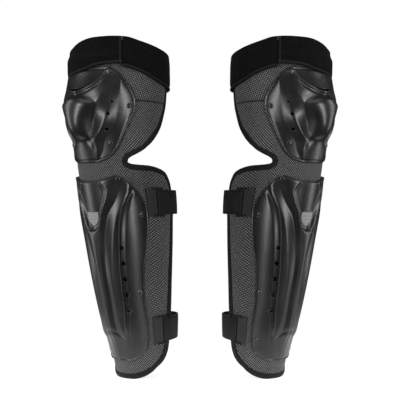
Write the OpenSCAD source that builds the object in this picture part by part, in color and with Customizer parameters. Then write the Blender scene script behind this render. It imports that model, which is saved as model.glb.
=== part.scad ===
// A pair of long knee and shin guards for motocross: moulded shells riveted to a padded fabric
// liner that wraps the front and sides of the leg, with hook and loop straps behind.
// Each guard is drawn about its own leg, front towards -Y and near side towards +X, then turned
// outwards and moved to its side. The left guard is drawn, and the right one mirrors it.

/* [Overall] */
// Height from the ankle hem to the knee joint line
shin_h = 316; // [280:1:380]
// Height from the knee joint line to the top of the thigh band
thigh_h = 173; // [150:1:208]
// Distance of each leg's axis from the middle of the pair
leg_offset = 119; // [112:1:143]
// How far each guard is turned outwards
toe_out = 42; // [38:1:46]

/* [Leg form] */
// Half width of the liner at the ankle
ankle_half = 37; // [33:0.5:44]
// Half width of the liner at the calf
calf_half = 51; // [46:0.5:56]
// Half width of the liner at the thigh
thigh_half = 68; // [64:0.5:74]

/* [Liner and pads] */
// Thickness of the fabric liner
liner_t = 3; // [2:0.1:4]
// Width of the edge binding
binding_w = 4; // [3:0.5:8]
// How far the binding stands proud of the liner on each face
binding_proud = 0.8; // [0.4:0.1:1]
// Thickness of the foam pads behind the shells
pad_t = 6; // [4:0.5:8]
// Gap between pieces of fabric that lie on each other
fabric_gap = 0.4; // [0.3:0.1:0.6]

/* [Shells] */
// Wall of the moulded shells
shell_wall = 3; // [2:0.1:3.5]
// Gap between the shells and the liner
shell_gap = 0.3; // [0.2:0.05:0.5]
// Rise of the ball over the kneecap
ball_rise = 20; // [12:0.5:24]
// Rise of the knee cup around the ball
cup_rise = 8; // [5:0.5:10]
// Depth of the scoop in the shin shell
scoop_depth = 3.6; // [2:0.1:3.8]

/* [Rivets] */
// Radius of the rivet heads
rivet_head_r = 4.5; // [3.5:0.1:5]
// Radius of the rivet shanks
rivet_shank_r = 2; // [1.5:0.1:2.4]
// Radial clearance of the holes that the shanks pass
rivet_clearance = 0.2; // [0.1:0.05:0.4]
// Radius of the washers behind the liner
washer_r = 6; // [5:0.1:7]

/* [Straps] */
// Thickness of the thigh band and strap
thigh_strap_t = 3; // [2:0.1:4]
// Height of the thigh strap
thigh_strap_w = 42; // [36:1:48]
// Thickness of the calf straps
calf_strap_t = 2.5; // [1.5:0.1:3]
// Height of the calf straps
calf_strap_w = 36; // [30:1:42]
// Height of the upper calf strap's middle above the ankle hem
upper_strap_z = 259; // [240:1:262]
// Height of the lower calf strap's middle above the ankle hem
lower_strap_z = 71; // [66:1:90]
// Thickness of the hook pads and loop patches
hook_t = 1.1; // [0.8:0.1:1.5]

/* [Hidden] */
$fn = 40;
pair_y = -3.8;                       // brings the middle of the pair's box over the origin
band_top = shin_h + thigh_h;
land = shell_gap + shell_wall;     // outer face of a shell where it lies on the liner
knee_half = (calf_half + thigh_half) / 2 - 3.5;
band_gap = binding_proud + fabric_gap;
strap_gap = binding_proud + 0.6;   // straps clear the binding that they pass over
washer_t = 0.8;
washer_under = liner_t + 0.9;      // near face of a washer, which is flat behind a curved liner
pad_under = liner_t + 0.9;         // outer face of a pad, likewise
shin_rows = 24;                    // rows of the grids that liner and binding share
thigh_rows = 16;

// Stations up the leg: height, half width, front depth, rear depth, fore and aft place of the axis
form = [
    [0, ankle_half, ankle_half - 3, ankle_half + 27, 45],
    [0.19 * shin_h, ankle_half + 2, ankle_half + 1, ankle_half + 39, 34],
    [0.36 * shin_h, ankle_half + 5, ankle_half + 5, ankle_half + 49, 25],
    [0.74 * shin_h, calf_half, calf_half, calf_half + 49, 6],
    [0.95 * shin_h, calf_half + 3, calf_half + 3, calf_half + 53, -5],
    [1.01 * shin_h, knee_half, knee_half - 2, knee_half + 42, -7],
    [shin_h + 0.2 * thigh_h, thigh_half - 5, thigh_half - 10, thigh_half + 18, -3],
    [shin_h + 0.49 * thigh_h, thigh_half - 1, thigh_half - 6, thigh_half + 8, -1],
    [shin_h + 0.78 * thigh_h, thigh_half, thigh_half - 4, thigh_half + 4, -0.5],
    [shin_h + 1.06 * thigh_h, thigh_half, thigh_half - 2, thigh_half + 2, 0]
];

// Outlines: share of the height of the piece, then half angle round the leg
shin_liner_half = [[0, 35], [0.026, 57], [0.042, 78], [0.064, 98], [0.09, 107], [0.141, 116.5],
    [0.3, 124], [0.46, 127.6], [0.65, 132], [0.75, 134], [0.84, 137.5], [0.92, 138], [0.95, 132],
    [0.975, 126], [0.99, 115], [1, 103]];
thigh_liner_half = [[0, 67], [0.02, 74], [0.07, 87], [0.13, 95], [0.18, 101], [0.24, 107.5],
    [0.29, 111], [0.37, 116], [0.46, 122], [0.54, 125], [0.62, 129], [0.75, 131], [1, 131]];
shin_shell_half = [[0, 30], [0.017, 46], [0.043, 62], [0.08, 73], [0.144, 78], [0.226, 79],
    [0.31, 76], [0.393, 76], [0.5, 79], [0.6, 86], [0.71, 91.5], [0.79, 92.6], [0.844, 91],
    [0.885, 86], [0.922, 78], [0.963, 67], [0.985, 57], [1, 46]];
cup_half = [[0, 22], [0.045, 37], [0.13, 47], [0.225, 51], [0.337, 56], [0.454, 62], [0.546, 66.5],
    [0.65, 66.7], [0.734, 63.4], [0.823, 57], [0.9, 50], [0.96, 43], [1, 34]];
shin_pad_half = [[0, 32], [0.1, 44], [0.5, 50], [0.9, 56], [1, 36]];
knee_pad_half = [[0, 24], [0.12, 38], [0.5, 46], [0.88, 40], [1, 22]];

// Relief of the shin shell: share of its height, then value
keel_rise = [[0, 0], [0.1, 0.6], [0.15, 6.7], [0.32, 7.7], [0.77, 4], [1, 3]];
keel_half = [[0, 30], [0.15, 26], [0.23, 21], [0.4, 23], [0.56, 25], [0.71, 34], [0.84, 48],
    [0.94, 60], [1, 64]];
flank_rise = 1.7;
vent_wide = 20;
vent_tall = 17;

liner_low = 0;
shin_liner_high = shin_h - 5;
thigh_liner_low = shin_h + 7;
thigh_liner_high = band_top;
shell_low = 27;
shell_high = shin_h - 19;
vent_z = shell_low + 0.77 * (shell_high - shell_low);
shell_dip = 8;                     // how far the shell's top edge dips at the front
cup_low = shin_h - 2;
cup_high = shin_h + 0.76 * thigh_h;
pad_low = 42;
shin_pad_high = shell_high - 28;
knee_pad_low = cup_low + 36;
knee_pad_high = cup_high - 18;
waist_half = 62;                   // half angle of the fabric left at the knee notch
seam_a = 50;                       // where the front band ends on the near side
band_end = 131;                    // where the front band ends on the far side
strap_hinge_a = 160;               // fold line of the thigh strap
strap_end_a = 300;
calf_hinge_a = 160;                // fold line of the calf straps
upper_end_a = 262;
lower_end_a = 274;
hook_span = 24;                    // angle that a calf strap's hook pad covers
anchor_t = 3.2;
fold_gap = 2.6;                    // angle left open before a strap's fold line
fold_start = 0.9;                  // angle from the fold line to the strap's end
seat = 0.3;                        // space under a patch, pad or rivet head on a curved face
rim_cover = 4.5;                   // how far the thigh band covers the cup's rim

// Rivets: angle round the leg and height above the ankle hem
shin_rivet_places = [[48, shell_high - 11.5], [79, shell_high - 59], [65, shell_low + 97],
    [62, shell_low + 27]];
cup_rivet_places = [[34, cup_high - 8.5], [56.5, cup_high - 56.5], [36.5, cup_low + 26]];
// Vent holes: angle, height and radius
shin_vent_places = [for (i = [0:4]) [41.5, shell_low + 77 + 22.3 * i, 4.5 - 0.45 * i]];
cup_vent_places = [[39, cup_low + 83.5, 1.6], [35, cup_low + 67, 2], [33, cup_low + 46, 2.2]];

PIECES = ["shin_liner", "shin_binding", "shin_pad", "shin_shell", "shin_rivets", "shin_washers",
    "shin_vent", "upper_anchor", "upper_lead", "upper_loop", "lower_anchor", "lower_lead",
    "lower_loop", "knee_gusset", "thigh_liner", "thigh_binding", "knee_pad", "knee_cup",
    "cup_rivets", "cup_washers", "thigh_front_band", "thigh_side_band", "thigh_loop",
    "thigh_strap", "thigh_hook", "upper_strap", "upper_hook", "lower_strap", "lower_hook"];

function clamp01(x) = max(0, min(1, x));
function ease(x) = let(t = clamp01(x)) t * t * (3 - 2 * t);
function span_of(t, x, i = 0) = i >= len(t) - 2 || x <= t[i + 1][0] ? i : span_of(t, x, i + 1);
function slope_at(t, i, c) = let(a = max(i - 1, 0), b = min(i + 1, len(t) - 1))
    (t[b][c] - t[a][c]) / (t[b][0] - t[a][0]);
// Smooth curve through the rows of a table, read at x from column c
function smooth(t, x, c = 1) =
    x <= t[0][0] ? t[0][c] : x >= t[len(t) - 1][0] ? t[len(t) - 1][c] :
    let(i = span_of(t, x), h = t[i + 1][0] - t[i][0], u = (x - t[i][0]) / h)
    (2 * u^3 - 3 * u^2 + 1) * t[i][c] + (u^3 - 2 * u^2 + u) * h * slope_at(t, i, c)
    + (3 * u^2 - 2 * u^3) * t[i + 1][c] + (u^3 - u^2) * h * slope_at(t, i + 1, c);

// Point on the leg: a degrees round from the front towards the near side, z up, o outwards
function wall(a, z, o = 0) =
    let(half = smooth(form, z, 1), depth = smooth(form, z, cos(a) > 0 ? 2 : 3))
    [(half + o) * sin(a), smooth(form, z, 4) - (depth + o) * cos(a), z];
function unit(v) = v / norm(v);
function normal_at(a, z) =
    unit(cross(wall(a + 1, z) - wall(a - 1, z), wall(a, z + 1) - wall(a, z - 1)));
// Millimetres to a degree round the leg
function mm_per_degree(a, z) = norm(wall(a + 1, z) - wall(a - 1, z)) / 2;

// Places children on the leg with +Z straight out of it
module on_leg(a, z, o) {
    n = normal_at(a, z);
    translate(wall(a, z) + o * n) rotate([0, acos(n.z), atan2(n.y, n.x)]) children();
}

module both_sides(places) {
    for (p = places, side = [-1, 1]) on_leg(side * p[0], p[1], 0) children();
}

// Closed plate over a grid of [angle, height] rows, between two offsets from the leg's surface
module plate(grid, outer, inner) {
    m = len(grid);
    n = len(grid[0]);
    skin = [for (row = grid) for (p = row) wall(p[0], p[1], outer(p[0], p[1]))];
    back = [for (row = grid) for (p = row) wall(p[0], p[1], inner(p[0], p[1]))];
    last = (m - 1) * n;
    far = m * n;
    cells = [for (i = [0:m - 2]) for (j = [0:n - 2]) i * n + j];
    ends = [for (j = [0:n - 2]) j];
    sides = [for (i = [0:m - 2]) i * n];
    polyhedron(points = concat(skin, back), convexity = 6, faces = concat(
        [for (k = cells) [k, k + n + 1, k + 1]],
        [for (k = cells) [k, k + n, k + n + 1]],
        [for (k = cells) [far + k, far + k + 1, far + k + n + 1]],
        [for (k = cells) [far + k, far + k + n + 1, far + k + n]],
        [for (j = ends) [j, j + 1, far + j + 1]],
        [for (j = ends) [j, far + j + 1, far + j]],
        [for (j = ends) [last + j + 1, last + j, far + last + j]],
        [for (j = ends) [last + j + 1, far + last + j, far + last + j + 1]],
        [for (k = sides) [k + n, k, far + k]],
        [for (k = sides) [k + n, far + k, far + k + n]],
        [for (k = sides) [k + n - 1, k + 2 * n - 1, far + k + 2 * n - 1]],
        [for (k = sides) [k + n - 1, far + k + 2 * n - 1, far + k + n - 1]]
    ));
}

// Outline point at share u, moved into the piece by d millimetres
function edge_point(half, low, high, u, d) =
    let(du = 0.004, u0 = max(u - du, 0), u1 = min(u + du, 1),
        a = smooth(half, u), z = low + (high - low) * u, k = mm_per_degree(a, z),
        t = unit([(smooth(half, u1) - smooth(half, u0)) * k, (high - low) * (u1 - u0)]))
    [a - d * t[1] / k, z + d * t[0]];

// Rows inside an outline that is symmetric about the front, closer together at its ends
function field(half, low, high, rows, cols, inset = 0) =
    [for (i = [0:rows]) let(p = edge_point(half, low, high, (1 - cos(180 * i / rows)) / 2, inset))
        [for (j = [-cols:cols]) [p[0] * j / cols, p[1]]]];

// Strip of a strap: rows between two heights, columns between two angles
function strip(a0, a1, z0, z1, cols, rows = 1) =
    [for (i = [0:rows]) [for (j = [0:cols]) [a0 + (a1 - a0) * j / cols, z0 + (z1 - z0) * i / rows]]];

// --- offsets of the faces from the leg's surface ---
// The thigh's wings flare, and the shin's wings tuck in, so that they pass when the knee bends
function flare(a, z) = 4.5 * ease((abs(a) - 52) / 18) * ease((shin_h + 48 - z) / 34);
function tuck(a, z) = -2.5 * ease((abs(a) - 60) / 20) * ease((z - shin_h + 60) / 30);
function shell_share(z) = (z - shell_low) / (shell_high - shell_low);
function cup_share(z) = (z - cup_low) / (cup_high - cup_low);

function shin_outer(a, z) =
    let(u = shell_share(z), s = abs(a) / smooth(shin_shell_half, u),
        centre = smooth(keel_rise, u) * ease((smooth(keel_half, u) + 5 - abs(a)) / 11),
        flank = flank_rise * ease((s - 0.44) / 0.14) * ease((0.76 - s) / 0.12),
        scoop = scoop_depth * ease((14 + 40 * (u - 0.72) - abs(a)) / 5) * ease((u - 0.7) / 0.03))
    land + max(centre, flank) - min(scoop, max(centre, flank));

function cup_outer(a, z) =
    let(u = cup_share(z), s = abs(a) / smooth(cup_half, u),
        far = ((u - 0.54) / 0.42)^2 + (a / 42)^2,
        ball = ball_rise * max(0, 1 - far)^0.7,
        crown = cup_rise * ease((0.65 - s) / 0.38) * ease((u - 0.02) / 0.22) * ease((0.94 - u) / 0.16),
        brow = 0.75 * (ball + crown) * ease((10 + 110 * (u - 0.73) - abs(a)) / 14)
            * ease((u - 0.68) / 0.12))
    land + ball + crown - brow;

function dipped(grid) =
    [for (row = grid) [for (p = row)
        let(top = ease((p[1] - shell_high + 60) / 60), a = abs(p[0]) / 46)
        [p[0], p[1] - shell_dip * top * max(0, 1 - a * a)]]];

// --- pieces of one guard ---
module rivet_holes(places) {
    both_sides(places)
        translate([0, 0, -liner_t - 3])
            cylinder(r = rivet_shank_r + rivet_clearance, h = liner_t + land + 8);
}

module vent_holes(places) {
    for (p = places, side = [-1, 1])
        on_leg(side * p[0], p[1], -1) cylinder(r = p[2], h = cup_rise + ball_rise + 10);
}

// A flat head on the shell, a shank through shell and liner, and a tail spread behind the washer
module rivets(places, outer) {
    under = washer_under + washer_t;
    rim = 0.9;
    for (p = places, side = [-1, 1]) {
        head = outer(p[0], p[1]) + seat / 3;
        on_leg(side * p[0], p[1], 0) {
            translate([0, 0, head]) cylinder(r = rivet_head_r, h = rim);
            translate([0, 0, head + rim])
                cylinder(r1 = rivet_head_r, r2 = rivet_head_r - 1.6, h = rim);
            translate([0, 0, -under]) cylinder(r = rivet_shank_r, h = under + head + rim);
            translate([0, 0, -under - rim]) cylinder(r = rivet_shank_r + 1.2, h = rim);
        }
    }
}

module washers(places) {
    both_sides(places)
        translate([0, 0, -washer_under - washer_t])
            difference() {
                cylinder(r = washer_r, h = washer_t);
                translate([0, 0, -1])
                    cylinder(r = rivet_shank_r + rivet_clearance, h = washer_t + 2);
            }
}

// Pairs of points across the binding, up one side of an outline
function binding_side(half, low, high, rows, side) =
    [for (i = [0:rows]) let(u = (1 - cos(180 * i / rows)) / 2,
        p = edge_point(half, low, high, u, binding_w - seat), q = edge_point(half, low, high, u, 0))
        side > 0 ? [p, q] : [[-q[0], q[1]], [-p[0], p[1]]]];

module shin_liner() {
    color([0.16, 0.16, 0.17]) difference() {
        plate(field(shin_liner_half, liner_low, shin_liner_high, shin_rows, 9, binding_w),
            function(a, z) tuck(a, z), function(a, z) tuck(a, z) - liner_t);
        rivet_holes(shin_rivet_places);
    }
}

module shin_binding() {
    hem = shin_liner_half[0][1] - 0.5;
    color([0.05, 0.05, 0.05]) for (side = [-1, 1]) {
        plate(binding_side(shin_liner_half, liner_low, shin_liner_high, shin_rows, side),
            function(a, z) binding_proud + tuck(a, z),
            function(a, z) -liner_t - binding_proud + tuck(a, z));
    }
    color([0.05, 0.05, 0.05])
        plate(strip(-hem, hem, 0, binding_w - 1, 6),
            function(a, z) binding_proud, function(a, z) -liner_t - binding_proud);
}

module shin_pad() {
    color([0.25, 0.25, 0.26])
        plate(field(shin_pad_half, pad_low, shin_pad_high, 10, 6),
            function(a, z) -pad_under, function(a, z) -pad_under - pad_t);
}

module shin_shell() {
    color([0.12, 0.12, 0.13]) difference() {
        plate(dipped(field(shin_shell_half, shell_low, shell_high, 26, 11)),
            function(a, z) shin_outer(a, z),
            function(a, z) max(shell_gap, shin_outer(a, z) - shell_wall));
        rivet_holes(shin_rivet_places);
        vent_holes(shin_vent_places);
        vent_opening(0);
    }
}

// The scoop's opening, shrunk by d for the insert that fills it
module vent_opening(d) {
    on_leg(0, vent_z, -1)
        linear_extrude(12) square([vent_tall - 2 * d, vent_wide - 2 * d], center = true);
}

// Louvred grille that fills the opening
module shin_vent() {
    slot = 1.2;
    margin = 3;
    color([0.6, 0.6, 0.6]) difference() {
        intersection() {
            vent_opening(seat);
            on_leg(0, vent_z, shell_gap + 0.2)
                linear_extrude(1.6) square([vent_tall, vent_wide], center = true);
        }
        for (i = [-2:2])
            on_leg(0, vent_z, 0)
                translate([3 * i - slot / 2, margin - vent_wide / 2, -1])
                    cube([slot, vent_wide - 2 * margin, 5]);
    }
}

module shin_rivets() {
    color([0.1, 0.1, 0.1]) rivets(shin_rivet_places, function(a, z) shin_outer(a, z));
}

module shin_washers() {
    color([0.6, 0.6, 0.6]) washers(shin_rivet_places);
}

// Ribbed elastic sewn to the wing beside the shell
module anchor(z, a0) {
    w = calf_strap_w + 8;
    color([0.06, 0.06, 0.06])
        plate(strip(a0, 103.4, z - w / 2, z + w / 2, 4, 10),
            function(a, h) anchor_t - 0.6 * abs(sin(180 * (h - z + w / 2) / 4.4)),
            function(a, h) shell_gap);
}

// Smooth tab that carries the strap from the anchor to the wing's rear edge
module lead(z) {
    color([0.17, 0.17, 0.17])
        plate(strip(104, calf_hinge_a - fold_gap, z - calf_strap_w / 2, z + calf_strap_w / 2, 11),
            function(a, h) strap_gap + calf_strap_t, function(a, h) strap_gap);
}

// A strap's lift off the leg: its free end lies over its hook pad and the loop patch it holds
function calf_lift(a) = strap_gap + (3 * seat + 2 * hook_t + fabric_gap - strap_gap)
    * ease((a - 205) / 15);

module calf_strap(z, end) {
    color([0.17, 0.17, 0.17])
        plate(strip(calf_hinge_a + fold_start, end, z - calf_strap_w / 2, z + calf_strap_w / 2, 18),
            function(a, h) calf_lift(a) + calf_strap_t, function(a, h) calf_lift(a));
}

module calf_hook(z, end) {
    h = calf_strap_w - 6;
    color([0.04, 0.04, 0.04])
        plate(strip(end - hook_span - 2, end - 2, z - h / 2, z + h / 2, 4),
            function(a, y) calf_lift(a) - seat, function(a, y) calf_lift(a) - seat - hook_t);
}

module calf_loop(z, end) {
    h = calf_strap_w - 2;
    color([0.08, 0.08, 0.08])
        plate(strip(end - hook_span - 1, end, z - h / 2, z + h / 2, 4),
            function(a, y) seat + hook_t, function(a, y) seat);
}

module upper_anchor() anchor(upper_strap_z, 95.5);
module upper_lead() lead(upper_strap_z);
module upper_loop() calf_loop(upper_strap_z, upper_end_a);
module upper_strap() calf_strap(upper_strap_z, upper_end_a);
module upper_hook() calf_hook(upper_strap_z, upper_end_a);
module lower_anchor() anchor(lower_strap_z, 89);
module lower_lead() lead(lower_strap_z);
module lower_loop() calf_loop(lower_strap_z, lower_end_a);
module lower_strap() calf_strap(lower_strap_z, lower_end_a);
module lower_hook() calf_hook(lower_strap_z, lower_end_a);

// Stretch fabric left between the notches, which folds as the knee bends
module knee_gusset() {
    gap = 0.5;
    low = shin_liner_high - binding_w + gap;
    high = thigh_liner_low + binding_w - 2 * gap;
    color([0.2, 0.2, 0.21])
        plate(strip(-waist_half, waist_half, low, high, 16, 4),
            function(a, z) 0, function(a, z) -liner_t);
}

module thigh_liner() {
    color([0.16, 0.16, 0.17]) difference() {
        plate(field(thigh_liner_half, thigh_liner_low, thigh_liner_high, thigh_rows, 9, binding_w),
            function(a, z) flare(a, z), function(a, z) flare(a, z) - liner_t);
        rivet_holes(cup_rivet_places);
    }
}

module thigh_binding() {
    color([0.05, 0.05, 0.05]) for (side = [-1, 1])
        plate(binding_side(thigh_liner_half, thigh_liner_low, thigh_liner_high, thigh_rows, side),
            function(a, z) binding_proud + flare(a, z),
            function(a, z) -liner_t - binding_proud + flare(a, z));
}

module knee_pad() {
    color([0.25, 0.25, 0.26])
        plate(field(knee_pad_half, knee_pad_low, knee_pad_high, 9, 6),
            function(a, z) -pad_under, function(a, z) -pad_under - pad_t);
}

module knee_cup() {
    color([0.12, 0.12, 0.13]) difference() {
        plate(field(cup_half, cup_low, cup_high, 24, 11),
            function(a, z) cup_outer(a, z) + flare(a, z),
            function(a, z) max(shell_gap, cup_outer(a, z) - shell_wall) + flare(a, z));
        rivet_holes(cup_rivet_places);
        vent_holes(cup_vent_places);
        on_leg(0, cup_low + 0.76 * (cup_high - cup_low), -1)
            linear_extrude(40) square([5, 20], center = true);
    }
}

module cup_rivets() {
    color([0.1, 0.1, 0.1]) rivets(cup_rivet_places, function(a, z) cup_outer(a, z));
}

module cup_washers() {
    color([0.6, 0.6, 0.6]) washers(cup_rivet_places);
}

// Wide fleece band over the top of the liner and the rim of the cup
function over_cup(a, z) = band_gap + (land + fabric_gap - band_gap) * ease((60 - abs(a)) / 10)
    * ease((cup_high + 24 - z) / 10);
function front_hem(a) = cup_high - rim_cover + (abs(a) < 60 ? 7 * ease(abs(a) / 50) : 7)
    - 24 * ease((abs(a) - 58) / 72);
function side_hem(a) = front_hem(a) - 4 * ease((a - 44) / 6);

function band_grid(a0, a1, cols, hem) =
    [for (i = [0:3]) [for (j = [0:cols]) let(a = a0 + (a1 - a0) * j / cols)
        [a, hem(a) + (band_top - hem(a)) * i / 3]]];

module thigh_front_band() {
    color([0.03, 0.03, 0.03])
        plate(band_grid(-band_end, seam_a, 26, function(a) front_hem(a)),
            function(a, z) over_cup(a, z) + thigh_strap_t, function(a, z) over_cup(a, z));
}

module thigh_side_band() {
    color([0.04, 0.04, 0.04])
        plate(band_grid(seam_a + 0.5, strap_hinge_a - fold_gap, 15, function(a) side_hem(a)),
            function(a, z) over_cup(a, z) + thigh_strap_t, function(a, z) over_cup(a, z));
}

function thigh_lift(a) = band_gap + (thigh_strap_t + 3 * seat + 2 * hook_t + fabric_gap)
    * ease((a - 203) / 16);
thigh_strap_low = front_hem(strap_hinge_a);

module thigh_strap() {
    low = thigh_strap_low;
    color([0.04, 0.04, 0.04])
        plate(strip(strap_hinge_a + fold_start, strap_end_a, low, low + thigh_strap_w, 22),
            function(a, z) thigh_lift(a) + thigh_strap_t, function(a, z) thigh_lift(a));
}

module thigh_hook() {
    low = thigh_strap_low + 3;
    color([0.04, 0.04, 0.04])
        plate(strip(strap_end_a - 36, strap_end_a - 2, low, low + thigh_strap_w - 6, 5),
            function(a, z) thigh_lift(a) - seat, function(a, z) thigh_lift(a) - seat - hook_t);
}

module thigh_loop() {
    low = thigh_strap_low + 2;
    under = band_gap + thigh_strap_t + seat;
    color([0.08, 0.08, 0.08])
        plate(strip(strap_end_a - 44, strap_end_a, low, low + thigh_strap_w - 4, 6),
            function(a, z) under + hook_t, function(a, z) under);
}

module piece(name) {
    if (name == "shin_liner") shin_liner();
    if (name == "shin_binding") shin_binding();
    if (name == "shin_pad") shin_pad();
    if (name == "shin_shell") shin_shell();
    if (name == "shin_rivets") shin_rivets();
    if (name == "shin_washers") shin_washers();
    if (name == "shin_vent") shin_vent();
    if (name == "upper_anchor") upper_anchor();
    if (name == "upper_lead") upper_lead();
    if (name == "upper_loop") upper_loop();
    if (name == "lower_anchor") lower_anchor();
    if (name == "lower_lead") lower_lead();
    if (name == "lower_loop") lower_loop();
    if (name == "knee_gusset") knee_gusset();
    if (name == "thigh_liner") thigh_liner();
    if (name == "thigh_binding") thigh_binding();
    if (name == "knee_pad") knee_pad();
    if (name == "knee_cup") knee_cup();
    if (name == "cup_rivets") cup_rivets();
    if (name == "cup_washers") cup_washers();
    if (name == "thigh_front_band") thigh_front_band();
    if (name == "thigh_side_band") thigh_side_band();
    if (name == "thigh_loop") thigh_loop();
    if (name == "thigh_strap") thigh_strap();
    if (name == "thigh_hook") thigh_hook();
    if (name == "upper_strap") upper_strap();
    if (name == "upper_hook") upper_hook();
    if (name == "lower_strap") lower_strap();
    if (name == "lower_hook") lower_hook();
}

// Turns a guard's pieces outwards and sets them on the left or, mirrored, on the right
module guard(side) {
    mirror([side == "right" ? 1 : 0, 0, 0])
        translate([-leg_offset, pair_y, 0]) rotate([0, 0, -toe_out]) children();
}

for (side = ["left", "right"]) for (name = PIECES)
    guard(side) piece(name);
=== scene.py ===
import math

import bpy
import numpy as np
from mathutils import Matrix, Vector


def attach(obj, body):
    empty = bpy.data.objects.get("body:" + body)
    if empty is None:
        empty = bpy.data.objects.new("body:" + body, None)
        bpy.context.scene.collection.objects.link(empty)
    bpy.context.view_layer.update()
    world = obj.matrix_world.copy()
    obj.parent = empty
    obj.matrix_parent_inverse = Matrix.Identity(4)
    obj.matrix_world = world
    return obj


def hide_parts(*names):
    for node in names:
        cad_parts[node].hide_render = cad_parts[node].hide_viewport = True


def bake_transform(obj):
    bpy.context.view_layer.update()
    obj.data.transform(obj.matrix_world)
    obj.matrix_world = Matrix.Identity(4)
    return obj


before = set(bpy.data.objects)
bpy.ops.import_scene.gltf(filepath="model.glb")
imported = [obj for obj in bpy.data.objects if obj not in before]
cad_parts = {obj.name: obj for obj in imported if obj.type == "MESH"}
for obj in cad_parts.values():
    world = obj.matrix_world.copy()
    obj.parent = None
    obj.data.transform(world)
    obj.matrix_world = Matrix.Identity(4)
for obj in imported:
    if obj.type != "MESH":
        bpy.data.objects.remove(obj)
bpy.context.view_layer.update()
bpy.ops.object.select_all(action="DESELECT")
millimetre = 0.001

# the leg that every piece is wrapped on; the same form as the CAD model's

pair = {
    "legOffset": 119,
    "toeOut": 42,
    "shift": -3.8,
    "kneeLine": 316,
    "top": 489,
}
# height, half width, front depth, rear depth, place of the axis
legForm = np.array([
    [0, 37, 34, 64, 45],
    [60, 39, 38, 76, 34],
    [113.8, 42, 42, 86, 25],
    [233.8, 51, 51, 100, 6],
    [300.2, 54, 54, 104, -5],
    [319.2, 56, 54, 98, -7],
    [350.6, 63, 58, 86, -3],
    [400.8, 67, 62, 76, -1],
    [450.9, 68, 64, 72, -0.5],
    [499.4, 68, 66, 70, 0],
])


def smooth(table, x, column=1):
    table = np.asarray(table, float)
    knots, values = table[:, 0], table[:, column]
    slopes = np.gradient(values)
    slopes[1:-1] = (values[2:] - values[:-2]) / (knots[2:] - knots[:-2])
    slopes[0] = (values[1] - values[0]) / (knots[1] - knots[0])
    slopes[-1] = (values[-1] - values[-2]) / (knots[-1] - knots[-2])
    x = np.clip(x, knots[0], knots[-1])
    i = np.clip(np.searchsorted(knots, x, side="right") - 1, 0, len(knots) - 2)
    step = knots[i + 1] - knots[i]
    u = (x - knots[i]) / step
    return (
        (2 * u**3 - 3 * u**2 + 1) * values[i]
        + (u**3 - 2 * u**2 + u) * step * slopes[i]
        + (3 * u**2 - 2 * u**3) * values[i + 1]
        + (u**3 - u**2) * step * slopes[i + 1]
    )


def ease(x):
    t = np.clip(x, 0, 1)
    return t * t * (3 - 2 * t)


def press(x, rolls):
    # rolls and grooves in a surface: the rise, place and width of each
    return sum(rise * np.exp(-((x - place) / wide) ** 2) for rise, place, wide in rolls)


# a point a degrees round the leg from its front, at height z, o millimetres off it
def legPoint(a, z, o):
    a, z, o = np.broadcast_arrays(a, z, o)
    turn = np.radians(a)
    half = smooth(legForm, z, 1)
    depth = np.where(np.cos(turn) > 0, smooth(legForm, z, 2), smooth(legForm, z, 3))
    x = (half + o) * np.sin(turn)
    y = smooth(legForm, z, 4) - (depth + o) * np.cos(turn)
    return np.stack([x, y, z], -1)


# from the left guard's own leg to the shared frame, in metres
def toPair(points):
    turn = math.radians(-pair["toeOut"])
    x, y, z = points[..., 0], points[..., 1], points[..., 2]
    return millimetre * np.stack([
        x * math.cos(turn) - y * math.sin(turn) - pair["legOffset"],
        x * math.sin(turn) + y * math.cos(turn) + pair["shift"],
        z,
    ], -1)


def perDegree(z):
    return math.radians(1) * smooth(legForm, z, 1)


def normalAt(a, z):
    d = 0.5
    across = legPoint(a + d, z, 0) - legPoint(a - d, z, 0)
    upward = legPoint(a, z + d, 0) - legPoint(a, z - d, 0)
    n = np.cross(across, upward)
    return n / np.linalg.norm(n, axis=-1, keepdims=True)


# wings of the thigh flare and wings of the shin tuck in, so that they pass at the knee
wings = {
    "thigh": {"off": 4.5, "from": 52, "over": 18, "reach": 48, "fade": 34},
    "shin": {"off": -2.5, "from": 60, "over": 20, "reach": 60, "fade": 30},
}


def wing(part, a, away):
    outward = ease((np.abs(a) - part["from"]) / part["over"])
    return part["off"] * outward * ease((part["reach"] - away) / part["fade"])


def cloth(a, z):
    away = z - pair["kneeLine"]
    return np.where(away > 0, wing(wings["thigh"], a, away), wing(wings["shin"], a, -away))


pieces = {}


def selectOnly(*parts):
    bpy.ops.object.select_all(action="DESELECT")
    for part in parts:
        part.select_set(True)
    if parts:
        bpy.context.view_layer.objects.active = parts[0]


def applyModifier(piece, kind, **settings):
    bpy.context.view_layer.objects.active = piece
    bpy.ops.object.modifier_add(type=kind)
    modifier = piece.modifiers[-1]
    for key, value in settings.items():
        setattr(modifier, key, value)
    bpy.ops.object.modifier_apply(modifier=modifier.name)


def vertexPlaces(piece):
    found = np.empty(3 * len(piece.data.vertices))
    piece.data.vertices.foreach_get("co", found)
    return found.reshape(-1, 3)


def setPoints(piece, points, start=0):
    places = vertexPlaces(piece)
    flat = points.reshape(-1, 3)
    places[start:start + len(flat)] = flat
    piece.data.vertices.foreach_set("co", places.astype(np.float32).ravel())
    piece.data.update()


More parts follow.
